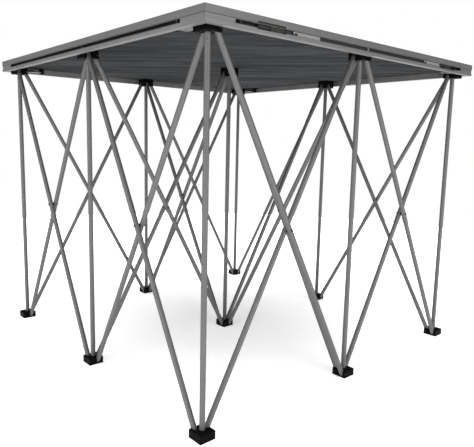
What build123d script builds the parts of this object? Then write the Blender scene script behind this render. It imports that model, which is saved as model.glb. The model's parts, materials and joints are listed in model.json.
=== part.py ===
from build123d import *
from math import hypot
import os

# Folding stage riser: a square deck resting on a 3 x 3 grid of posts that
# twelve scissor crosses hold apart and fold into a bundle.
# Origin at the middle of the footprint on the floor, +Z up, sides along X and Y.
# Hubs are named by compass point, c is the middle one.
# A brace is named by the hub its foot stands in, then the hub its head hangs in.

# ---- driving dimensions, mm ----
DECK_SIDE = 1000.0  # outside of the edge rails
DECK_TOP = 816.0  # top of the rails above the floor
HUB_PITCH = 462.0  # spacing of the posts when unfolded
HUB_SIDE = 38.5  # square plan of the hub mouldings
HUB_EDGE = 1.2  # fillet of the hubs' upright edges

# frame tubes
TUBE_OD = 12.0
TUBE_WALL = 1.2
BRACE_END_RADIUS = 6.15  # rounded brace ends, about the hinge pin
BRACE_OFFSET = 6.5  # brace plane to hub middle, one brace of a cross on each side
PIVOT_REACH = 14.4  # hub middle to hinge pin
PIN_RADIUS = 2.0
PIN_RUNNING = 0.08  # radial clearance of a pin in a hub
FIXED_GAP = 0.02  # radial gap of a pin or rivet fixed in a tube
PLUG_GAP = 0.05  # radial gap of a plug in a tube
PLUG_LENGTH = 18.0
PLUG_PAST_PIN = 3.4  # plug's outer end beyond the hinge pin
RIVET_RADIUS = 2.0  # rivet at the middle of each cross
RIVET_RUNNING = 0.08
RIVET_HEAD_RADIUS = 3.4
RIVET_HEAD = 0.9  # low conical heads
RIVET_HEAD_TAPER = 35.0
WASHER_RADIUS = 4.6
WASHER_THICKNESS = 0.65
MOVE_GAP = 0.3  # clearance between parts that move past each other
PIN_END_GAP = 0.2
CUT_PAST = 1.0  # how far a cut runs past the face that it opens

# foot hubs
FOOT_HEIGHT = 17.0
FOOT_PIVOT_Z = 9.0
SOCKET_FLOOR_Z = 3.0
SOCKET_RUNNING = 0.1

# top hubs
TOP_HUB_BOTTOM = 778.5
TOP_PIVOT_Z = 786.0
POST_TOP_Z = 790.5

# edge rail, depths measured inwards from its outer face, z from its underside
RAIL_HEIGHT = 30.0
RAIL_WIDTH = 14.0  # box part of the rail
OUTER_WALL = 2.4
BOX_WALL = 1.8
BOX_HEIGHT = 17.0  # the board lies on top of the box
LIP_WIDTH = 5.0
LIP_THICKNESS = 0.9
BAND_Z = (5.8, 16.4)  # shallow recess along the outer face
BAND_DEPTH = 1.0
MITRE_GAP = 0.05
BOARD_GAP = 0.1  # between the board and the rails
COVER_GAP = 0.3  # between the board's raised top and the lips

# openings in the outer wall, u along the rail from its middle
SLOT_Z = (7.8, 15.0)
CATCH_SLOTS = (((-429.0, 429.0), SLOT_Z),)
LATCH_SLOTS = (
    ((-429.0, -25.0), SLOT_Z),
    ((-19.0, 431.0), SLOT_Z),
    ((-375.0, -298.0), (5.4, 20.0)),
    ((312.0, 395.0), (4.5, 16.8)),
)

# sliding latch in the box of the south and east rails
LATCH_BAR_U = (-370.0, 364.0)
LATCH_BAR_Z = (8.6, 14.2)
LATCH_BAR_DEPTH = (4.2, 7.0)
HOOK_PLATES_U = ((-264.0, -194.0), (241.0, 308.0))
HOOK_PLATE_DEPTH = 1.2
HOOK_REACH = 12.0
HOOK_STEM = 2.8
HOOK_TIP = 3.5
HOOK_TIP_RISE = 1.5  # hook tip's lower edge above the plate's
HANDLES = (((-338.0, -304.0), (6.2, 14.7)), ((340.0, 362.0), (5.4, 14.7)))
HANDLE_DEPTH = 0.8
HANDLE_GROOVES = 4
HANDLE_GROOVE_WIDTH = 1.6
HANDLE_GROOVE_DEPTH = 0.8
CATCH_PIN_RADIUS = 2.4
CATCH_PIN_DEPTH = 4.8
LATCH_RAIL_PINS_U = (-413.0, 374.0)
CATCH_RAIL_PINS_U = (415.0, 39.0)

# corner brackets and locating blocks against the rails, under the board
BRACKET_THICKNESS = 2.0
BRACKET_LEG = 94.0
BRACKET_LEG_Z = 3.0  # leg's lower edge above the rails' underside
TAB_U = (394.0, 436.0)
TAB_REACH = 30.0
TAB_SLANT = 19.0  # cut off the tab's corner, so that the corner hub can pass as it folds
TAB_THICKNESS = 1.6
TAB_HOLE_RADIUS = 2.2
TAB_HOLE = (405.0, 19.5)  # along the rail, and in from it
BLOCK_U = 383.0
BLOCK_LENGTH = 11.0
BLOCK_WIDTH = 12.0
BLOCK_Z = 1.5
BLOCK_EDGE = 1.0

# ---- worked out ----
TUBE_RADIUS = TUBE_OD / 2
TUBE_BORE = TUBE_RADIUS - TUBE_WALL
RAIL_BOTTOM = DECK_TOP - RAIL_HEIGHT
BOARD_BOTTOM = RAIL_BOTTOM + BOX_HEIGHT
TOP_HUB_TOP = BOARD_BOTTOM - MOVE_GAP
HUB_HALF = HUB_SIDE / 2
SLOT_HALF = TUBE_RADIUS + MOVE_GAP
SLOT_REACH = BRACE_END_RADIUS + MOVE_GAP
PIN_INNER = -4.0  # pin's blind end past the hub's middle line
PIN_OUTER = HUB_HALF - 0.4  # pin's outer end, just inside the hub's face

# every brace has the same length and lean
OPEN_REACH = HUB_PITCH - 2 * PIVOT_REACH
PIVOT_RISE = TOP_PIVOT_Z - FOOT_PIVOT_Z
BRACE_LENGTH = hypot(OPEN_REACH, PIVOT_RISE)

HUBS = {
    "c": (0, 0),
    "e": (1, 0),
    "n": (0, 1),
    "w": (-1, 0),
    "s": (0, -1),
    "ne": (1, 1),
    "nw": (-1, 1),
    "sw": (-1, -1),
    "se": (1, -1),
}


def steps_out(name):
    """Grid steps from the middle hub."""
    return abs(HUBS[name][0]) + abs(HUBS[name][1])


def apart(first, second):
    """Grid steps between two hubs."""
    (ax, ay), (bx, by) = HUBS[first], HUBS[second]
    return abs(ax - bx) + abs(ay - by)


def heading(start, end):
    """Unit vector from one hub towards its neighbour."""
    (ax, ay), (bx, by) = HUBS[start], HUBS[end]
    return Vector(bx - ax, by - ay, 0)


def middle(name, z=0.0):
    """Point on a hub's upright middle line."""
    x, y = HUBS[name]
    return Vector(x * HUB_PITCH, y * HUB_PITCH, z)


# each span as (hub nearer the middle, hub further out)
SPANS = [(a, b) for a in HUBS for b in HUBS if apart(a, b) == 1 and steps_out(a) < steps_out(b)]


def left_of(direction):
    """Horizontal unit vector to the left of a direction."""
    return Vector(-direction.Y, direction.X, 0)


def foot_pivot(foot, head):
    """Hinge point of a brace in its foot hub."""
    run = heading(foot, head)
    return middle(foot, FOOT_PIVOT_Z) + run * PIVOT_REACH + left_of(run) * BRACE_OFFSET


def head_pivot(foot, head):
    """Hinge point of a brace in its top hub."""
    run = heading(foot, head)
    return middle(head, TOP_PIVOT_Z) - run * PIVOT_REACH + left_of(run) * BRACE_OFFSET


def save(builder, name):
    """Label a finished piece and write its STEP file."""
    builder.part.label = name
    export_step(builder.part, f"parts/{name}.step")


# ---- hubs and posts ----
def make_hub(name, side, bottom, top, slot_z, pivot_z, bore_z, bore_radius):
    """Square moulding with a post bore and an open slot and pin hole for each brace.

    side is +1 for a foot hub and -1 for a top hub, whose slots are the mirror image,
    so that both ends of a brace lie in one upright plane.
    """
    neighbours = [other for other in HUBS if apart(name, other) == 1]
    with BuildPart() as hub:
        with BuildSketch(Plane(middle(name, bottom))):
            Rectangle(HUB_SIDE, HUB_SIDE)
        extrude(amount=top - bottom)
        fillet(hub.edges().filter_by(Axis.Z), HUB_EDGE)
        with BuildSketch(Plane(middle(name, bore_z[0]))):
            Circle(bore_radius)
        extrude(amount=bore_z[1] - bore_z[0], mode=Mode.SUBTRACT)
        slot_start = PIVOT_REACH - SLOT_REACH
        slot_end = HUB_HALF + CUT_PAST
        for other in neighbours:
            run = heading(name, other)
            across = left_of(run) * side
            with BuildSketch(Plane(middle(name, slot_z[0]), x_dir=run, z_dir=(0, 0, 1))):
                with Locations(((slot_start + slot_end) / 2, side * BRACE_OFFSET)):
                    Rectangle(slot_end - slot_start, 2 * SLOT_HALF)
            extrude(amount=slot_z[1] - slot_z[0], mode=Mode.SUBTRACT)
            blind_end = middle(name, pivot_z) + run * PIVOT_REACH + across * (PIN_INNER - PIN_END_GAP)
            with BuildSketch(Plane(blind_end, z_dir=across)):
                Circle(PIN_RADIUS + PIN_RUNNING)
            extrude(amount=HUB_HALF - PIN_INNER + CUT_PAST, mode=Mode.SUBTRACT)
    return hub


def make_foot_hub(name):
    """Foot moulding: slots open upwards, post socket open at the top."""
    slot_z = (FOOT_PIVOT_Z - SLOT_REACH, FOOT_HEIGHT + CUT_PAST)
    socket_z = (SOCKET_FLOOR_Z, FOOT_HEIGHT + CUT_PAST)
    socket_radius = TUBE_RADIUS + SOCKET_RUNNING
    return make_hub(name, 1, 0.0, FOOT_HEIGHT, slot_z, FOOT_PIVOT_Z, socket_z, socket_radius)


def make_top_hub(name):
    """Top moulding: slots open downwards, post fixed in a blind bore."""
    slot_z = (TOP_HUB_BOTTOM - CUT_PAST, TOP_PIVOT_Z + SLOT_REACH)
    bore_z = (TOP_HUB_BOTTOM - CUT_PAST, POST_TOP_Z)
    bore_radius = TUBE_RADIUS + FIXED_GAP
    return make_hub(name, -1, TOP_HUB_BOTTOM, TOP_HUB_TOP, slot_z, TOP_PIVOT_Z, bore_z, bore_radius)


def make_post(name):
    """Upright tube with a plug in its lower end."""
    post_bottom = SOCKET_FLOOR_Z + MOVE_GAP
    with BuildPart() as post:
        with BuildSketch(Plane(middle(name, post_bottom))):
            Circle(TUBE_RADIUS)
            Circle(TUBE_BORE, mode=Mode.SUBTRACT)
        extrude(amount=POST_TOP_Z - post_bottom)
        with BuildSketch(Plane(middle(name, post_bottom))):
            Circle(TUBE_BORE - PLUG_GAP)
        extrude(amount=PLUG_LENGTH)
    return post


# ---- braces ----
def make_brace(foot, head, has_rivet):
    """Tube with rounded, plugged ends and a hinge pin through each.

    The braces of a cross share one rivet, which is fixed in the brace with has_rivet.
    """
    start = foot_pivot(foot, head)
    end = head_pivot(foot, head)
    along = (end - start).normalized()
    across = left_of(heading(foot, head))
    flat = Plane(start, x_dir=along, z_dir=across)
    near_face = TUBE_RADIUS + PLUG_GAP
    far_face = -(2 * BRACE_OFFSET + TUBE_RADIUS + MOVE_GAP)
    with BuildPart() as brace:
        with BuildSketch(Plane(start - along * BRACE_END_RADIUS, z_dir=along)):
            Circle(TUBE_RADIUS)
            Circle(TUBE_BORE, mode=Mode.SUBTRACT)
        extrude(amount=BRACE_LENGTH + 2 * BRACE_END_RADIUS)
        with BuildSketch(flat):
            with Locations((BRACE_LENGTH / 2, 0)):
                SlotCenterToCenter(BRACE_LENGTH, 2 * BRACE_END_RADIUS)
        extrude(amount=TUBE_OD, both=True, mode=Mode.INTERSECT)
        with BuildSketch(Plane(start - along * PLUG_PAST_PIN, z_dir=along)):
            Circle(TUBE_BORE - PLUG_GAP)
        extrude(amount=PLUG_LENGTH)
        with BuildSketch(Plane(end + along * PLUG_PAST_PIN, z_dir=-along)):
            Circle(TUBE_BORE - PLUG_GAP)
        extrude(amount=PLUG_LENGTH)
        with BuildSketch(flat):
            with Locations((0, 0), (BRACE_LENGTH, 0)):
                Circle(PIN_RADIUS + FIXED_GAP)
            with Locations((BRACE_LENGTH / 2, 0)):
                Circle(RIVET_RADIUS + (FIXED_GAP if has_rivet else RIVET_RUNNING))
        extrude(amount=TUBE_OD, both=True, mode=Mode.SUBTRACT)
        with BuildSketch(flat.offset(PIN_INNER - BRACE_OFFSET)):
            with Locations((0, 0), (BRACE_LENGTH, 0)):
                Circle(PIN_RADIUS)
        extrude(amount=PIN_OUTER - PIN_INNER)
        if has_rivet:
            with BuildSketch(flat.offset(far_face)):
                with Locations((BRACE_LENGTH / 2, 0)):
                    Circle(RIVET_RADIUS)
            extrude(amount=near_face - far_face)
            with BuildSketch(flat.offset(far_face)):
                with Locations((BRACE_LENGTH / 2, 0)):
                    Circle(RIVET_HEAD_RADIUS)
            extrude(amount=-RIVET_HEAD, taper=RIVET_HEAD_TAPER)
            with BuildSketch(flat.offset(near_face)):
                with Locations((BRACE_LENGTH / 2, 0)):
                    Circle(RIVET_HEAD_RADIUS)
            extrude(amount=RIVET_HEAD, taper=RIVET_HEAD_TAPER)
            with BuildSketch(flat.offset(-TUBE_RADIUS - PLUG_GAP)):
                with Locations((BRACE_LENGTH / 2, 0)):
                    Circle(WASHER_RADIUS)
                    Circle(RIVET_RADIUS + PLUG_GAP, mode=Mode.SUBTRACT)
            extrude(amount=-WASHER_THICKNESS)
    return brace


# ---- deck ----
RAILS = {"south": (0, -1), "east": (1, 0), "north": (0, 1), "west": (-1, 0)}
HALF_DECK = DECK_SIDE / 2


def outward(side):
    """Unit vector out of the deck through a rail."""
    return Vector(*RAILS[side], 0)


def rail_point(side, u=0.0, depth=0.0, z=0.0):
    """Point at u along a rail, depth inside its outer face and z above its underside."""
    out = outward(side)
    return left_of(out) * u + out * (HALF_DECK - depth) + Vector(0, 0, RAIL_BOTTOM + z)


def section_plane(side, u):
    """Plane across a rail: local x runs inwards from the outer face, y upwards."""
    return Plane(rail_point(side, u), x_dir=-outward(side), z_dir=left_of(outward(side)))


def face_plane(side, depth):
    """Plane along a rail: local x runs along it from its middle, y upwards."""
    return Plane(rail_point(side, depth=depth), x_dir=left_of(outward(side)), z_dir=outward(side))


def floor_plane(side, z):
    """Level plane: local x runs along a rail from its middle, y inwards from its face."""
    return Plane(rail_point(side, z=z), x_dir=left_of(outward(side)), z_dir=(0, 0, 1))


def span_box(low, high):
    """Rectangle from one corner of the sketch to the other."""
    with Locations(((low[0] + high[0]) / 2, (low[1] + high[1]) / 2)):
        Rectangle(high[0] - low[0], high[1] - low[1])


def make_rail(side, slots, pins_u):
    """Mitred aluminium extrusion with slots in its outer wall and catch pins inside its box."""
    with BuildPart() as rail:
        with BuildSketch(section_plane(side, -HALF_DECK)):
            with BuildLine():
                Polyline(
                    (0, 0),
                    (RAIL_WIDTH, 0),
                    (RAIL_WIDTH, BOX_HEIGHT),
                    (OUTER_WALL, BOX_HEIGHT),
                    (OUTER_WALL, RAIL_HEIGHT - LIP_THICKNESS),
                    (LIP_WIDTH, RAIL_HEIGHT - LIP_THICKNESS),
                    (LIP_WIDTH, RAIL_HEIGHT),
                    (0, RAIL_HEIGHT),
                    (0, BAND_Z[1]),
                    (BAND_DEPTH, BAND_Z[1] - BAND_DEPTH / 2),
                    (BAND_DEPTH, BAND_Z[0] + BAND_DEPTH / 2),
                    (0, BAND_Z[0]),
                    close=True,
                )
            make_face()
            cavity_top = BOX_HEIGHT - BOX_WALL
            with Locations(((OUTER_WALL + RAIL_WIDTH - BOX_WALL) / 2, (BOX_WALL + cavity_top) / 2)):
                Rectangle(RAIL_WIDTH - BOX_WALL - OUTER_WALL, cavity_top - BOX_WALL, mode=Mode.SUBTRACT)
        extrude(amount=DECK_SIDE)
        mitre_end = HALF_DECK - MITRE_GAP
        with BuildSketch(floor_plane(side, -CUT_PAST)):
            with BuildLine():
                Polyline(
                    (-mitre_end, 0),
                    (mitre_end, 0),
                    (mitre_end - 2 * RAIL_WIDTH, 2 * RAIL_WIDTH),
                    (2 * RAIL_WIDTH - mitre_end, 2 * RAIL_WIDTH),
                    close=True,
                )
            make_face()
        extrude(amount=RAIL_HEIGHT + 2 * CUT_PAST, mode=Mode.INTERSECT)
        with BuildSketch(face_plane(side, 0)):
            for (u_low, u_high), (z_low, z_high) in slots:
                span_box((u_low, z_low), (u_high, z_high))
        extrude(amount=-OUTER_WALL, mode=Mode.SUBTRACT)
        for u in pins_u:
            with BuildSketch(Plane(rail_point(side, u, CATCH_PIN_DEPTH, BOX_WALL + PLUG_GAP))):
                Circle(CATCH_PIN_RADIUS)
            extrude(amount=cavity_top - BOX_WALL - 2 * PLUG_GAP)
    return rail


def make_latch(side):
    """Bar sliding inside the rail's box, with two hook plates and two finger grips."""
    bar_front, bar_back = LATCH_BAR_DEPTH
    plate_z = (SLOT_Z[0] + MOVE_GAP, SLOT_Z[1] - MOVE_GAP)
    with BuildPart() as latch:
        with BuildSketch(face_plane(side, bar_back)):
            span_box((LATCH_BAR_U[0], LATCH_BAR_Z[0]), (LATCH_BAR_U[1], LATCH_BAR_Z[1]))
        extrude(amount=bar_back - bar_front)
        with BuildSketch(face_plane(side, bar_front)):
            for start, end in HOOK_PLATES_U:
                tip = start - HOOK_REACH
                span_box((start, plate_z[0]), (end, plate_z[1]))
                span_box((tip, plate_z[1] - HOOK_STEM), (start, plate_z[1]))
                span_box((tip, plate_z[0] + HOOK_TIP_RISE), (tip + HOOK_TIP, plate_z[1]))
        extrude(amount=bar_front - HOOK_PLATE_DEPTH)
        with BuildSketch(face_plane(side, bar_front)):
            for (u_low, u_high), (z_low, z_high) in HANDLES:
                span_box((u_low, z_low), (u_high, z_high))
        extrude(amount=bar_front - HANDLE_DEPTH)
        with BuildSketch(face_plane(side, HANDLE_DEPTH)):
            for (u_low, u_high), (z_low, z_high) in HANDLES:
                pitch = (u_high - u_low) / (HANDLE_GROOVES + 1)
                for groove in range(1, HANDLE_GROOVES + 1):
                    with Locations((u_low + groove * pitch, (z_low + z_high) / 2)):
                        Rectangle(HANDLE_GROOVE_WIDTH, z_high - z_low)
        extrude(amount=-HANDLE_GROOVE_DEPTH, mode=Mode.SUBTRACT)
    return latch


def make_board():
    """Board lying on the rails' boxes, rebated under their lips so that its top is flush."""
    board_side = DECK_SIDE - 2 * (OUTER_WALL + BOARD_GAP)
    top_side = DECK_SIDE - 2 * (LIP_WIDTH + COVER_GAP)
    rebate_z = DECK_TOP - LIP_THICKNESS - BOARD_GAP
    with BuildPart() as board:
        with BuildSketch(Plane.XY.offset(BOARD_BOTTOM)):
            Rectangle(board_side, board_side)
        extrude(amount=rebate_z - BOARD_BOTTOM)
        with BuildSketch(Plane.XY.offset(rebate_z)):
            Rectangle(top_side, top_side)
        extrude(amount=DECK_TOP - rebate_z)
    return board


def make_corner_brackets():
    """Four angles inside the corners, each with a fixing tab on one leg's lower edge."""
    leg_end = HALF_DECK - BRACKET_LEG
    inside = HALF_DECK - RAIL_WIDTH - PLUG_GAP
    leg_height = BOX_HEIGHT - BRACKET_LEG_Z - PLUG_GAP
    with BuildPart() as brackets:
        for side in RAILS:
            out = outward(side)
            corner = Plane(
                Vector(0, 0, RAIL_BOTTOM + BRACKET_LEG_Z), x_dir=left_of(out), z_dir=(0, 0, 1)
            )
            with BuildSketch(corner):
                with BuildLine():
                    Polyline(
                        (leg_end, -inside),
                        (inside, -inside),
                        (inside, -leg_end),
                        (inside - BRACKET_THICKNESS, -leg_end),
                        (inside - BRACKET_THICKNESS, -inside + BRACKET_THICKNESS),
                        (leg_end, -inside + BRACKET_THICKNESS),
                        close=True,
                    )
                make_face()
            extrude(amount=leg_height)
            with BuildSketch(corner):
                with BuildLine():
                    Polyline(
                        (TAB_U[0], -inside),
                        (TAB_U[1], -inside),
                        (TAB_U[1], -inside + TAB_REACH - TAB_SLANT),
                        (TAB_U[1] - TAB_SLANT, -inside + TAB_REACH),
                        (TAB_U[0], -inside + TAB_REACH),
                        close=True,
                    )
                make_face()
                with Locations((TAB_HOLE[0], -inside + TAB_HOLE[1])):
                    Circle(TAB_HOLE_RADIUS, mode=Mode.SUBTRACT)
            extrude(amount=TAB_THICKNESS)
    return brackets


def make_locating_blocks():
    """Blocks against the rails that keep the corner posts in place, one at each corner."""
    near = RAIL_WIDTH + PLUG_GAP
    with BuildPart() as blocks:
        for side in RAILS:
            with BuildSketch(floor_plane(side, BLOCK_Z)):
                with Locations((BLOCK_U, near + BLOCK_WIDTH / 2)):
                    RectangleRounded(BLOCK_LENGTH, BLOCK_WIDTH, BLOCK_EDGE)
            extrude(amount=BOX_HEIGHT - BLOCK_Z - PLUG_GAP)
    return blocks


# ---- make every piece ----
os.makedirs("parts", exist_ok=True)

for hub_name in HUBS:
    save(make_foot_hub(hub_name), f"foot_hub_{hub_name}")
    save(make_top_hub(hub_name), f"top_hub_{hub_name}")
    save(make_post(hub_name), f"post_{hub_name}")

for inner, outer in SPANS:
    save(make_brace(inner, outer, has_rivet=False), f"brace_{inner}_to_{outer}")
    save(make_brace(outer, inner, has_rivet=True), f"brace_{outer}_to_{inner}")

for rail_side in RAILS:
    if rail_side in ("south", "east"):
        save(make_rail(rail_side, LATCH_SLOTS, LATCH_RAIL_PINS_U), f"rail_{rail_side}")
        save(make_latch(rail_side), f"latch_{rail_side}")
    else:
        save(make_rail(rail_side, CATCH_SLOTS, CATCH_RAIL_PINS_U), f"rail_{rail_side}")

save(make_board(), "deck_board")
save(make_corner_brackets(), "corner_brackets")
save(make_locating_blocks(), "locating_blocks")
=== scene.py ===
import json
from math import cos, pi, radians, sin

import bmesh
import bpy
from mathutils import Matrix, Vector


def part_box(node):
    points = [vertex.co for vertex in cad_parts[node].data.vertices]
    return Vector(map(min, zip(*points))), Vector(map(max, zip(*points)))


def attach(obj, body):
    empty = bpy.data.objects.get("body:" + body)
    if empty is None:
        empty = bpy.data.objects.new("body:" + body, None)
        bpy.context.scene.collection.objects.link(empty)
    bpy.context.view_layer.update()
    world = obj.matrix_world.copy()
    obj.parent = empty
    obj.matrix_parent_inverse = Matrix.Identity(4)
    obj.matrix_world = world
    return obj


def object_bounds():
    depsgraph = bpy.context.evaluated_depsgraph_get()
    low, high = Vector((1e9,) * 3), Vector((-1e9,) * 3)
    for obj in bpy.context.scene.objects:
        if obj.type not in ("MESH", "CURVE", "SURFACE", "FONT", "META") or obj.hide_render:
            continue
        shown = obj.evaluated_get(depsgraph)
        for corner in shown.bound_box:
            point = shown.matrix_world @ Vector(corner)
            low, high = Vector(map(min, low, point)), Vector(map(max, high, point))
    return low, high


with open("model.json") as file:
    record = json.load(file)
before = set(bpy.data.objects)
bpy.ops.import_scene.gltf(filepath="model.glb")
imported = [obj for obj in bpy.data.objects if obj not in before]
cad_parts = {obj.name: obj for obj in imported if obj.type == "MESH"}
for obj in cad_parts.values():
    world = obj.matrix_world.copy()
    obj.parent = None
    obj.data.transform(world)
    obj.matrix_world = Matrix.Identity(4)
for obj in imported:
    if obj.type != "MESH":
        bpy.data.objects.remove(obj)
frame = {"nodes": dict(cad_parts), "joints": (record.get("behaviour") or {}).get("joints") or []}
cad_low, cad_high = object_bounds()

MM = 0.001
NODES = frame["nodes"]
SIDES = {"south": (0, -1), "east": (1, 0), "north": (0, 1), "west": (-1, 0)}
HUBS = ("c", "e", "n", "w", "s", "ne", "nw", "sw", "se")
BRACES = sorted(name for name in NODES if name.startswith("brace_"))
UP = Vector((0, 0, 1))
WHITE = (1.0, 1.0, 1.0, 1.0)


# ---------------------------------------------------------------- shader helpers
class Shader:
    """A material's node tree, with short ways to add and join nodes."""

    def __init__(self, name):
        self.material = bpy.data.materials.new(name)
        self.material.use_nodes = True
        self.tree = self.material.node_tree
        self.surface = self.tree.nodes["Principled BSDF"]
        self.coords = self.node("ShaderNodeTexCoord")

    def node(self, kind, **settings):
        made = self.tree.nodes.new(kind)
        for key, value in settings.items():
            setattr(made, key, value)
        return made

    def join(self, source, target):
        self.tree.links.new(source, target)
        return source

    def put(self, socket, value):
        """Link an output to an input, or set a plain value on it."""
        if isinstance(value, bpy.types.NodeSocket):
            self.join(value, socket)
        else:
            socket.default_value = value

    def math(self, operation, a, b=0.0):
        made = self.node("ShaderNodeMath", operation=operation)
        self.put(made.inputs[0], a)
        self.put(made.inputs[1], b)
        return made.outputs[0]

    def vector(self, operation, a, b=None, scale=None):
        made = self.node("ShaderNodeVectorMath", operation=operation)
        self.put(made.inputs[0], a)
        if b is not None:
            self.put(made.inputs[1], b)
        if scale is not None:
            self.put(made.inputs["Scale"], scale)
        gives_number = operation in ("DOT_PRODUCT", "LENGTH")
        return made.outputs["Value" if gives_number else "Vector"]

    def noise(self, coords, scale, detail=3.0, roughness=0.5):
        made = self.node("ShaderNodeTexNoise")
        self.join(coords, made.inputs["Vector"])
        made.inputs["Scale"].default_value = scale
        made.inputs["Detail"].default_value = detail
        made.inputs["Roughness"].default_value = roughness
        return made.outputs["Fac"]

    def span(self, value, low, high, to_low=0.0, to_high=1.0):
        made = self.node("ShaderNodeMapRange")
        self.put(made.inputs["Value"], value)
        for key, number in (
            ("From Min", low),
            ("From Max", high),
            ("To Min", to_low),
            ("To Max", to_high),
        ):
            made.inputs[key].default_value = number
        return made.outputs["Result"]

    def mix(self, factor, first, second):
        made = self.node("ShaderNodeMix", data_type="RGBA")
        self.put(made.inputs["Factor"], factor)
        colours = [s for s in made.inputs if s.type == "RGBA"]
        self.put(colours[0], first)
        self.put(colours[1], second)
        return [s for s in made.outputs if s.type == "RGBA"][0]

    def within(self, value, low, high):
        """1 where the value lies between two numbers."""
        above = self.math("GREATER_THAN", value, low)
        return self.math("MULTIPLY", above, self.math("LESS_THAN", value, high))

    def position(self):
        """The x, y and z outputs of the object coordinates."""
        split = self.node("ShaderNodeSeparateXYZ")
        self.join(self.coords.outputs["Object"], split.inputs[0])
        return split.outputs["X"], split.outputs["Y"], split.outputs["Z"]

    def specular(self, level):
        self.surface.inputs["Specular IOR Level"].default_value = level

    def bump(self, height, strength, distance):
        made = self.node("ShaderNodeBump")
        made.inputs["Strength"].default_value = strength
        made.inputs["Distance"].default_value = distance
        self.join(height, made.inputs["Height"])
        self.join(made.outputs["Normal"], self.surface.inputs["Normal"])

    def set(self, **values):
        """Set or link the surface shader's sockets; underscores stand for spaces."""
        for key, value in values.items():
            self.put(self.surface.inputs[key.replace("_", " ")], value)

    def stretched(self, direction, squeeze):
        """Object coordinates squeezed along a direction, so that noise runs in streaks."""
        place = self.coords.outputs["Object"]
        axis = tuple(Vector(direction).normalized())
        along = self.vector("DOT_PRODUCT", place, axis)
        shift = self.math("MULTIPLY", along, squeeze - 1.0)
        return self.vector("ADD", place, self.vector("SCALE", axis, scale=shift))


def grey(value, warm=0.0):
    """A nearly neutral colour, warmer for a positive second number."""
    return (value * (1 + warm), value, value * (1 - warm), 1.0)


# ---------------------------------------------------------------- materials
TUBE_TONE = 0.125
METALLIC = 0.55  # satin anodised aluminium, duller than bare metal


def aluminium_look(shader, direction, tone, roughness):
    """Colour, roughness and relief of satin aluminium with die lines along its length."""
    streaks = shader.stretched(direction, 0.012)
    place = shader.coords.outputs["Object"]
    fine = shader.noise(streaks, 1900.0, 4.0, 0.6)
    broad = shader.noise(streaks, 320.0, 2.0)
    cloud = shader.noise(place, 9.0, 4.0, 0.6)
    specks = shader.noise(place, 420.0, 2.0)
    marks = shader.span(specks, 0.66, 0.74)
    lines = shader.math(
        "ADD", shader.math("MULTIPLY", fine, 0.6), shader.math("MULTIPLY", broad, 0.4)
    )
    shade = shader.mix(shader.span(lines, 0.3, 0.7), grey(tone * 0.84), grey(tone * 1.14))
    worn = shader.mix(shader.span(cloud, 0.35, 0.75, 0.0, 0.4), shade, grey(tone * 0.76, 0.01))
    marked = shader.mix(shader.math("MULTIPLY", marks, 0.25), worn, grey(tone * 1.5))
    rough = shader.math(
        "ADD",
        shader.span(lines, 0.3, 0.7, roughness - 0.07, roughness + 0.07),
        shader.span(cloud, 0.3, 0.8, 0.0, 0.12),
    )
    return marked, rough, lines


def drawn_aluminium(name, direction, tone):
    """Satin extruded or drawn aluminium with light handling marks."""
    shader = Shader(name)
    colour, rough, lines = aluminium_look(shader, direction, tone, 0.5)
    shader.set(Base_Color=colour, Metallic=METALLIC, Roughness=rough)
    shader.specular(0.3)
    shader.bump(lines, 0.25, 0.00012)
    return shader.material


def brace_metal(name, direction, across, middle, radius):
    """Drawn tube whose pins and rivet, which stand out of its sides, are dark steel."""
    shader = Shader(name)
    colour, rough, lines = aluminium_look(shader, direction, TUBE_TONE, 0.5)
    offset = shader.vector("DOT_PRODUCT", shader.coords.outputs["Object"], tuple(across))
    aside = shader.math("ABSOLUTE", shader.math("SUBTRACT", offset, middle.dot(across)))
    is_pin = shader.math("GREATER_THAN", aside, radius + 0.02 * MM)
    shader.set(
        Base_Color=shader.mix(is_pin, colour, grey(0.03)),
        Metallic=METALLIC,
        Roughness=rough,
    )
    shader.specular(0.3)
    shader.bump(lines, 0.25, 0.00012)
    return shader.material


def rail_metal(name, direction, cavity, groove):
    """Extruded rail: brushed outside, a darker upper band, and a dull, dark painted shade in the
    cavity.

    cavity is ((nearest, furthest) distance from the deck's middle, (lowest, highest) height),
    and groove is the height range of the chamfer above the recess, which gets a painted shade
    line.
    """
    tone = 0.19
    shader = Shader(name)
    colour, rough, lines = aluminium_look(shader, direction, tone, 0.46)
    x, y, height = shader.position()
    far_x = shader.math("ABSOLUTE", x)
    far_y = shader.math("ABSOLUTE", y)
    reach = far_y if direction[0] else far_x
    # Painted shade: the cavity inside the rail is near black and not metallic.
    cavity_shade = shader.math(
        "MULTIPLY", shader.within(reach, *cavity[0]), shader.within(height, *cavity[1])
    )
    # Painted shade: a dark line on the chamfer above the recess, on all but the rail's outer
    # face.
    groove_shade = shader.math(
        "MULTIPLY",
        shader.within(height, *groove),
        shader.math("LESS_THAN", reach, HALF_DECK - 0.03 * MM),
    )
    from_mitre = shader.math("ABSOLUTE", shader.math("SUBTRACT", far_x, far_y))
    seam = shader.span(from_mitre, 0.2 * MM, 0.9 * MM, 0.7, 0.0)
    is_band = shader.math("GREATER_THAN", height, groove[1])
    outside = shader.mix(shader.math("MULTIPLY", is_band, 0.4), colour, grey(tone * 0.62))
    # The mitre seam is a dark joint line; the chamfer line is painted shade.
    seamed_and_shaded = shader.mix(shader.math("MAXIMUM", seam, groove_shade), outside, grey(0.03))
    shader.set(
        Base_Color=shader.mix(cavity_shade, seamed_and_shaded, grey(0.016)),
        Metallic=shader.math("MULTIPLY", shader.math("SUBTRACT", 1.0, cavity_shade), METALLIC),
        Roughness=rough,
    )
    shader.specular(0.3)
    shader.bump(lines, 0.3, 0.00014)
    return shader.material


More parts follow.
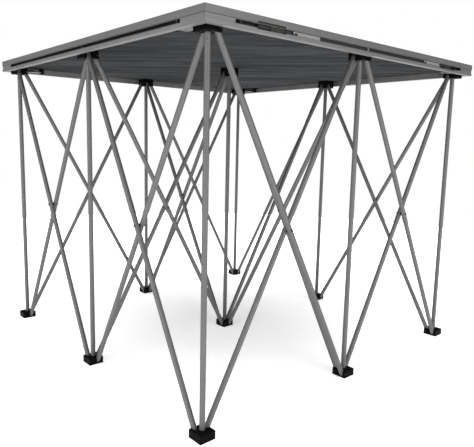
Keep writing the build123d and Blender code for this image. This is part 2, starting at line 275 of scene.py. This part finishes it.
def latch_metal(name, direction, plate_reach):
    """Latch bar and grips painted near black as shade inside the rail, with bare aluminium on
    the plates' outer faces.
    """
    shader = Shader(name)
    colour, rough, lines = aluminium_look(shader, direction, 0.24, 0.46)
    x, y, _ = shader.position()
    reach = shader.math("ABSOLUTE", y if direction[0] else x)
    skin = 0.1 * MM
    is_plate = shader.within(reach, plate_reach - skin, plate_reach + skin)
    # Painted shade: all but the plates' outer faces is near black.
    shader.set(
        Base_Color=shader.mix(is_plate, grey(0.035, 0.03), colour),
        Metallic=0.4,
        Roughness=rough,
    )
    shader.specular(0.25)
    shader.bump(lines, 0.25, 0.00012)
    return shader.material


def moulded_black(name, tone, roughness):
    """Black nylon with a fine spark-eroded grain, scuffed grey in patches."""
    shader = Shader(name)
    place = shader.coords.outputs["Object"]
    grain = shader.noise(place, 2600.0, 2.0)
    cloud = shader.noise(place, 60.0, 5.0, 0.65)
    scuff = shader.span(cloud, 0.56, 0.76)
    shade = shader.mix(shader.math("MULTIPLY", scuff, 0.5), grey(tone), grey(tone * 4.0))
    shader.set(
        Base_Color=shade,
        Roughness=shader.span(cloud, 0.3, 0.7, roughness - 0.08, roughness + 0.1),
    )
    shader.specular(0.02)
    shader.bump(grain, 0.35, 0.00015)
    return shader.material


def zinc_steel(name, tone, roughness):
    """Dull zinc-plated steel for screws and rivets."""
    shader = Shader(name)
    cloud = shader.noise(shader.coords.outputs["Object"], 240.0, 3.0)
    shade = shader.mix(shader.span(cloud, 0.3, 0.7), grey(tone * 0.85), grey(tone * 1.1, 0.02))
    shader.set(
        Base_Color=shade,
        Metallic=1.0,
        Roughness=shader.span(cloud, 0.3, 0.7, roughness - 0.05, roughness + 0.1),
    )
    return shader.material


def mesh_film(shader, place, pitch):
    """Raised square mesh of an anti-slip film, 0 in the cells and 1 on the ribs."""
    made = shader.node(
        "ShaderNodeTexVoronoi", feature="DISTANCE_TO_EDGE", voronoi_dimensions="2D"
    )
    made.inputs["Scale"].default_value = 1.0 / pitch
    made.inputs["Randomness"].default_value = 0.0
    turned = shader.node("ShaderNodeMapping", vector_type="POINT")
    turned.inputs["Rotation"].default_value = (0.0, 0.0, radians(45))
    shader.join(place, turned.inputs["Vector"])
    shader.join(turned.outputs["Vector"], made.inputs["Vector"])
    return shader.span(made.outputs["Distance"], 0.06, 0.14, 1.0, 0.0)


def deck_board():
    """Plywood board: anti-slip film on top, smooth film below, dark sealed plies at the edge."""
    film_pitch = 6 * MM
    ply_thickness = 0.7 * MM
    shader = Shader("deck_board_film")
    place = shader.coords.outputs["Object"]
    normal = shader.node("ShaderNodeSeparateXYZ")
    shader.join(shader.coords.outputs["Normal"], normal.inputs[0])
    is_top = shader.math("GREATER_THAN", normal.outputs["Z"], 0.5)
    is_under = shader.math("LESS_THAN", normal.outputs["Z"], -0.5)
    is_flat = shader.math("ADD", is_top, is_under)

    ribs = mesh_film(shader, place, film_pitch)
    top_cloud = shader.noise(place, 7.0, 5.0, 0.6)
    top_tone = shader.mix(shader.span(top_cloud, 0.3, 0.75), grey(0.022, 0.04), grey(0.04, 0.04))
    top = shader.mix(shader.math("MULTIPLY", ribs, 0.55), top_tone, grey(0.07, 0.03))

    grain = shader.noise(shader.stretched((1.0, -1.0, 0.0), 0.16), 26.0, 6.0, 0.6)
    under_cloud = shader.noise(shader.stretched((1.0, -1.0, 0.0), 0.4), 5.0, 3.0, 0.6)
    under_tone = shader.mix(shader.span(grain, 0.3, 0.7), grey(0.026, -0.05), grey(0.07, -0.03))
    under = shader.mix(
        shader.span(under_cloud, 0.4, 0.7, 0.0, 0.8), under_tone, grey(0.026, -0.04)
    )

    height = shader.position()[2]
    ply = shader.math("PINGPONG", height, 2 * ply_thickness)
    layers = shader.math("GREATER_THAN", ply, ply_thickness)
    fibres = shader.noise(place, 500.0, 3.0)
    fibre_mix = shader.span(fibres, 0.3, 0.7)
    pale = shader.mix(fibre_mix, (0.034, 0.031, 0.028, 1), (0.048, 0.043, 0.039, 1))
    dark = shader.mix(fibre_mix, (0.02, 0.018, 0.016, 1), (0.028, 0.025, 0.022, 1))
    edge = shader.mix(layers, pale, dark)

    flat = shader.mix(is_top, under, top)
    colour = shader.mix(is_flat, edge, flat)
    smooth = shader.span(grain, 0.3, 0.7, 0.42, 0.55)
    rough_top = shader.span(ribs, 0.0, 1.0, 0.62, 0.5)
    rough_flat = shader.math(
        "ADD",
        shader.math("MULTIPLY", is_top, rough_top),
        shader.math("MULTIPLY", shader.math("SUBTRACT", 1.0, is_top), smooth),
    )
    shader.set(
        Base_Color=colour,
        Roughness=rough_flat,
        Coat_Weight=shader.math("MULTIPLY", is_top, 0.35),
    )
    shader.surface.inputs["Coat Roughness"].default_value = 0.42
    shader.specular(0.0)
    relief = shader.math(
        "ADD",
        shader.math("MULTIPLY", is_top, ribs),
        shader.math("MULTIPLY", is_under, shader.math("MULTIPLY", grain, 0.12)),
    )
    shader.bump(relief, 0.6, 0.0004)
    return shader.material


def pale_floor():
    """Matt studio floor that glows as painted light, faintly in the middle and fully at its rim,
    like the sweep of a white cove.
    """
    shader = Shader("studio_floor")
    far = shader.vector("LENGTH", shader.coords.outputs["Object"])
    # Painted light: the floor glows, with strength 0.4 in the middle up to 1.0 at its rim.
    shader.set(
        Base_Color=grey(0.92),
        Roughness=0.9,
        Emission_Strength=shader.span(far, 0.4, 1.8, 0.4, 1.0),
    )
    shader.surface.inputs["Emission Color"].default_value = WHITE
    shader.specular(0.1)
    return shader.material


def dress(node, material):
    """Give every slot of a CAD node the same material."""
    for place in NODES[node].material_slots:
        place.material = material


# ---------------------------------------------------------------- mesh helpers
def new_piece(name, build, material, body):
    """Make a mesh object from a bmesh-filling function and let it ride on a body."""
    mesh = bpy.data.meshes.new(name)
    shape = bmesh.new()
    build(shape)
    bmesh.ops.recalc_face_normals(shape, faces=shape.faces)
    shape.to_mesh(mesh)
    shape.free()
    mesh.materials.append(material)
    mesh.shade_smooth()
    mesh.set_sharp_from_angle(angle=radians(35))
    piece = bpy.data.objects.new(name, mesh)
    bpy.context.scene.collection.objects.link(piece)
    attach(piece, body)


def axis_frame(origin, direction):
    """Matrix that carries local +Z to a direction at a point."""
    turn = UP.rotation_difference(Vector(direction).normalized()).to_matrix().to_4x4()
    return Matrix.Translation(origin) @ turn


def new_ring(shape, place, radius, height, segments):
    """Ring of vertices about local Z; radius is a number, or a function of the angle."""
    ring = []
    for step in range(segments):
        angle = 2 * pi * step / segments
        reach = radius(angle) if callable(radius) else radius
        point = Vector((reach * cos(angle), reach * sin(angle), height))
        ring.append(shape.verts.new(place @ point))
    return ring


def lathe(shape, profile, place, segments):
    """Revolve (radius, height) points about local Z; a radius of 0 closes an end."""
    rings = []
    for radius, height in profile:
        if radius:
            rings.append(new_ring(shape, place, radius, height, segments))
        else:
            rings.append([shape.verts.new(place @ Vector((0, 0, height)))])
    for lower, upper in zip(rings, rings[1:]):
        for step in range(segments):
            after = (step + 1) % segments
            if len(lower) == 1:
                shape.faces.new((lower[0], upper[after], upper[step]))
            elif len(upper) == 1:
                shape.faces.new((lower[step], lower[after], upper[0]))
            else:
                shape.faces.new((lower[step], lower[after], upper[after], upper[step]))


def socket_screw(shape, place, radius, height):
    """Button-head screw with a six-sided socket, lying on local z = 0."""
    segments = 24
    rim = [(radius, 0.0), (radius, height * 0.25), (radius * 0.93, height * 0.6)]
    rim += [(radius * 0.75, height * 0.9), (radius * 0.58, height)]
    half_side = pi / 6
    flat = radius * 0.42 * cos(half_side)

    def six_sided(angle):
        return flat / cos((angle % (2 * half_side)) - half_side)

    rings = [new_ring(shape, place, reach, level, segments) for reach, level in rim]
    rings += [
        new_ring(shape, place, six_sided, level, segments) for level in (height, height * 0.3)
    ]
    for lower, upper in zip(rings, rings[1:]):
        for step in range(segments):
            after = (step + 1) % segments
            shape.faces.new((lower[step], lower[after], upper[after], upper[step]))
    shape.faces.new(rings[0])
    shape.faces.new(rings[-1])


def dome_rivet(shape, place, radius, height):
    """Domed rivet head with a slight flange and a pulled-through centre."""
    profile = [(0.0, 0.0), (radius, 0.0), (radius, height * 0.22), (radius * 0.9, height * 0.55)]
    profile += [(radius * 0.62, height * 0.88), (radius * 0.36, height)]
    profile += [(radius * 0.3, height * 0.72), (0.0, height * 0.7)]
    lathe(shape, profile, place, 20)


# ---------------------------------------------------------------- where the frame's parts are
def joint(name):
    return next(j for j in frame["joints"] if j["name"] == name)


def hub_middle(hub, height=0.0):
    """Point on a hub's upright middle line."""
    low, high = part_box(f"post_{hub}")
    return Vector(((low.x + high.x) / 2, (low.y + high.y) / 2, height))


def left_of(direction):
    return Vector((-direction.y, direction.x, 0.0))


PIVOT_REACH, BRACE_OFFSET, FOOT_PIVOT_Z = joint("fold")["pos_m"]
HEAD_PIVOT_Z = joint("top_e_hinge")["pos_m"][2]
TUBE_RADIUS = (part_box("post_c")[1].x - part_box("post_c")[0].x) / 2
POST_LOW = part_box("post_c")[0].z
FOOT_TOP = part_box("foot_hub_c")[1].z
HEAD_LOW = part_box("top_hub_c")[0].z
RAIL_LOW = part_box("rail_south")[0].z
RAIL_WIDTH = 14.0 * MM
BRACKET_FACE = 2.1 * MM  # from the rail to the bracket's inner face
CAVITY_DEPTH = (1.1 * MM, 12.5 * MM)  # in from the rail's outer face
CAVITY_HEIGHT = (1.7 * MM, 15.3 * MM)  # above the rail's lower edge
GROOVE_HEIGHT = (15.75 * MM, 16.5 * MM)  # the chamfer above the recess
HOOK_PLATE_DEPTH = 1.2 * MM
HALF_DECK = cad_high.x


def brace_hubs(brace):
    """Names of the hubs that a brace's foot and head are in."""
    _, foot, _, head = brace.split("_")
    return foot, head


def brace_line(brace):
    """Foot pivot, head pivot and level sideways direction of a brace."""
    foot, head = brace_hubs(brace)
    run = (hub_middle(head) - hub_middle(foot)).normalized()
    across = left_of(run)
    start = hub_middle(foot, FOOT_PIVOT_Z) + run * PIVOT_REACH + across * BRACE_OFFSET
    end = hub_middle(head, HEAD_PIVOT_Z) - run * PIVOT_REACH + across * BRACE_OFFSET
    return start, end, across


def rail_point(side, along, depth, height):
    """Point at a distance along a rail, inside its outer face, at a height."""
    out = Vector((*SIDES[side], 0.0))
    return left_of(out) * along + out * (HALF_DECK - depth) + UP * height


# ---------------------------------------------------------------- materials on the CAD nodes
STEEL = zinc_steel("zinc_steel", 0.14, 0.5)
BLACK = moulded_black("moulded_black", 0.0028, 0.5)
BLOCK_BLACK = moulded_black("block_black", 0.005, 0.6)
UPRIGHT_TUBE = drawn_aluminium("tube_upright", (0, 0, 1), TUBE_TONE)


def dress_frame():
    for hub in HUBS:
        dress(f"foot_hub_{hub}", BLACK)
        dress(f"top_hub_{hub}", BLACK)
        dress(f"post_{hub}", UPRIGHT_TUBE)
    for brace in BRACES:
        start, end, across = brace_line(brace)
        along = (end - start).normalized()
        dress(brace, brace_metal(f"{brace}_metal", along, across, start, TUBE_RADIUS))


def dress_deck():
    depths = (HALF_DECK - CAVITY_DEPTH[1], HALF_DECK - CAVITY_DEPTH[0])
    cavity = (depths, [RAIL_LOW + height for height in CAVITY_HEIGHT])
    groove = [RAIL_LOW + height for height in GROOVE_HEIGHT]
    rail_x = rail_metal("rail_metal_x", (1, 0, 0), cavity, groove)
    rail_y = rail_metal("rail_metal_y", (0, 1, 0), cavity, groove)
    plate_reach = HALF_DECK - HOOK_PLATE_DEPTH
    for side in SIDES:
        dress(f"rail_{side}", rail_x if side in ("south", "north") else rail_y)
    dress("latch_south", latch_metal("latch_metal_x", (1, 0, 0), plate_reach))
    dress("latch_east", latch_metal("latch_metal_y", (0, 1, 0), plate_reach))
    dress("deck_board", deck_board())
    dress("corner_brackets", drawn_aluminium("bracket_metal", (1, 1, 0), 0.15))
    dress("locating_blocks", BLOCK_BLACK)


# ---------------------------------------------------------------- pieces
RIVET_SUNK = 0.35 * MM  # how far a flat head's rim lies inside the round tube


def add_brace_rivets():
    """Rivet heads that hold the end plugs, on the outer side of each brace."""
    from_pivot = 30 * MM
    for brace in BRACES:
        start, end, across = brace_line(brace)
        along = (end - start).normalized()
        seat = across * (TUBE_RADIUS - RIVET_SUNK)

        def build(shape):
            for point in (start + along * from_pivot, end - along * from_pivot):
                dome_rivet(shape, axis_frame(point + seat, across), 2.6 * MM, 1.4 * MM)

        new_piece(f"{brace}_rivets", build, STEEL, brace)


def add_post_rivets():
    """Two rivet heads on opposite corners of each post, below the top hub and above the plug."""
    heights = (HEAD_LOW - 14 * MM, POST_LOW + 40 * MM)
    for hub in HUBS:

        def build(shape):
            for height in heights:
                for turn in (45, 225):
                    out = Vector((cos(radians(turn)), sin(radians(turn)), 0))
                    seat = hub_middle(hub, height) + out * (TUBE_RADIUS - RIVET_SUNK)
                    dome_rivet(shape, axis_frame(seat, out), 2.2 * MM, 1.2 * MM)

        new_piece(f"post_{hub}_rivets", build, STEEL, f"top_{hub}")


def add_socket_collars():
    """Rounded lip round the mouth of each foot's post socket."""
    bore = TUBE_RADIUS + 0.15 * MM
    outside = bore + 1.7 * MM
    height = 1.4 * MM
    sunk = 0.5 * MM
    rise = [(outside, -sunk), (outside, height * 0.55), (outside - 0.35 * MM, height)]
    fall = [(bore + 0.35 * MM, height), (bore, height * 0.6), (bore, -sunk)]
    for hub in HUBS:
        place = axis_frame(hub_middle(hub, FOOT_TOP), UP)
        new_piece(
            f"foot_{hub}_collar",
            lambda shape: lathe(shape, rise + fall + rise[:1], place, 32),
            BLACK,
            f"foot_{hub}",
        )


def add_bracket_screws():
    """Cap screws through the legs of the corner brackets."""
    places = (-455 * MM, -415 * MM, 415 * MM, 455 * MM)
    height = RAIL_LOW + 10.5 * MM
    depth = RAIL_WIDTH + BRACKET_FACE
    for side in SIDES:

        def build(shape):
            for along in places:
                seat = rail_point(side, along, depth, height)
                inwards = -Vector((*SIDES[side], 0.0))
                socket_screw(shape, axis_frame(seat, inwards), 2.8 * MM, 1.2 * MM)

        new_piece(f"bracket_screws_{side}", build, STEEL, "deck")


def add_floor():
    shape = bmesh.new()
    bmesh.ops.create_circle(shape, cap_ends=True, segments=96, radius=2.6)
    mesh = bpy.data.meshes.new("studio_floor")
    shape.to_mesh(mesh)
    shape.free()
    floor = bpy.data.objects.new("studio_floor", mesh)
    floor.location.z = -0.5 * MM
    mesh.materials.append(pale_floor())
    bpy.context.scene.collection.objects.link(floor)


def add_world():
    """White backdrop, and for all other rays a soft light that is stronger from the left."""
    world = bpy.data.worlds.new("studio")
    world.use_nodes = True
    tree = world.node_tree
    sky = tree.nodes["Background"]
    backdrop = tree.nodes.new("ShaderNodeBackground")
    backdrop.inputs["Color"].default_value = WHITE
    path = tree.nodes.new("ShaderNodeLightPath")
    blend = tree.nodes.new("ShaderNodeMixShader")
    tree.links.new(path.outputs["Is Camera Ray"], blend.inputs[0])
    tree.links.new(sky.outputs[0], blend.inputs[1])
    tree.links.new(backdrop.outputs[0], blend.inputs[2])
    tree.links.new(blend.outputs[0], tree.nodes["World Output"].inputs[0])
    coords = tree.nodes.new("ShaderNodeTexCoord")
    facing = tree.nodes.new("ShaderNodeVectorMath")
    facing.operation = "DOT_PRODUCT"
    facing.inputs[1].default_value = (-0.85, -0.35, 0.4)
    tree.links.new(coords.outputs["Generated"], facing.inputs[0])
    strength = tree.nodes.new("ShaderNodeMapRange")
    for key, number in (
        ("From Min", -0.4),
        ("From Max", 0.9),
        ("To Min", 0.06),
        ("To Max", 0.75),
    ):
        strength.inputs[key].default_value = number
    tree.links.new(facing.outputs["Value"], strength.inputs["Value"])
    tree.links.new(strength.outputs["Result"], sky.inputs["Strength"])
    sky.inputs["Color"].default_value = WHITE
    bpy.context.scene.world = world


def softbox(name, place, aim, size, power):
    """Round area lamp, with its diameter in metres and its power in watts."""
    lamp = bpy.data.lights.new(name, "AREA")
    lamp.shape = "DISK"
    lamp.size = size
    lamp.energy = power
    holder = bpy.data.objects.new(name, lamp)
    holder.location = place
    look = Vector(aim) - Vector(place)
    holder.rotation_euler = look.to_track_quat("-Z", "Y").to_euler()
    bpy.context.scene.collection.objects.link(holder)


def add_lamps():
    middle = (0.0, 0.0, 0.5)
    softbox("overhead", (0.0, 0.0, 4.5), (0.0, 0.0, 0.0), 5.0, 290.0)
    softbox("front_left", (-3.6, -0.6, 1.1), middle, 1.6, 45.0)
    softbox("front_right", (0.2, -3.8, 1.1), middle, 1.6, 60.0)
    softbox("behind", (2.6, 2.6, 1.6), middle, 1.6, 12.0)


def add_camera():
    """View from below the deck's level, towards its south-west corner."""
    place = Vector((-1.0738, -1.2152, 0.5885))
    heading, tilt, roll = radians(49.18), radians(-8.13), radians(1.05)
    look = Vector((cos(heading) * cos(tilt), sin(heading) * cos(tilt), sin(tilt)))
    right = look.cross(UP).normalized()
    up = right.cross(look)
    turned_right = right * cos(roll) + up * sin(roll)
    turned_up = turned_right.cross(look)
    lens = bpy.data.cameras.new("camera")
    lens.sensor_width = 36.0
    lens.lens = 39.75
    lens.shift_x = 0.0342
    lens.shift_y = -0.0186
    lens.clip_start = 0.02
    camera = bpy.data.objects.new("camera", lens)
    turn = Matrix((turned_right, turned_up, -look)).transposed()
    camera.matrix_world = Matrix.Translation(place) @ turn.to_4x4()
    bpy.context.scene.collection.objects.link(camera)
    bpy.context.scene.camera = camera


dress_frame()
dress_deck()
add_brace_rivets()
add_post_rivets()
add_socket_collars()
add_bracket_screws()
add_floor()
add_world()
add_lamps()
add_camera()
bpy.context.scene.view_settings.view_transform = "Standard"
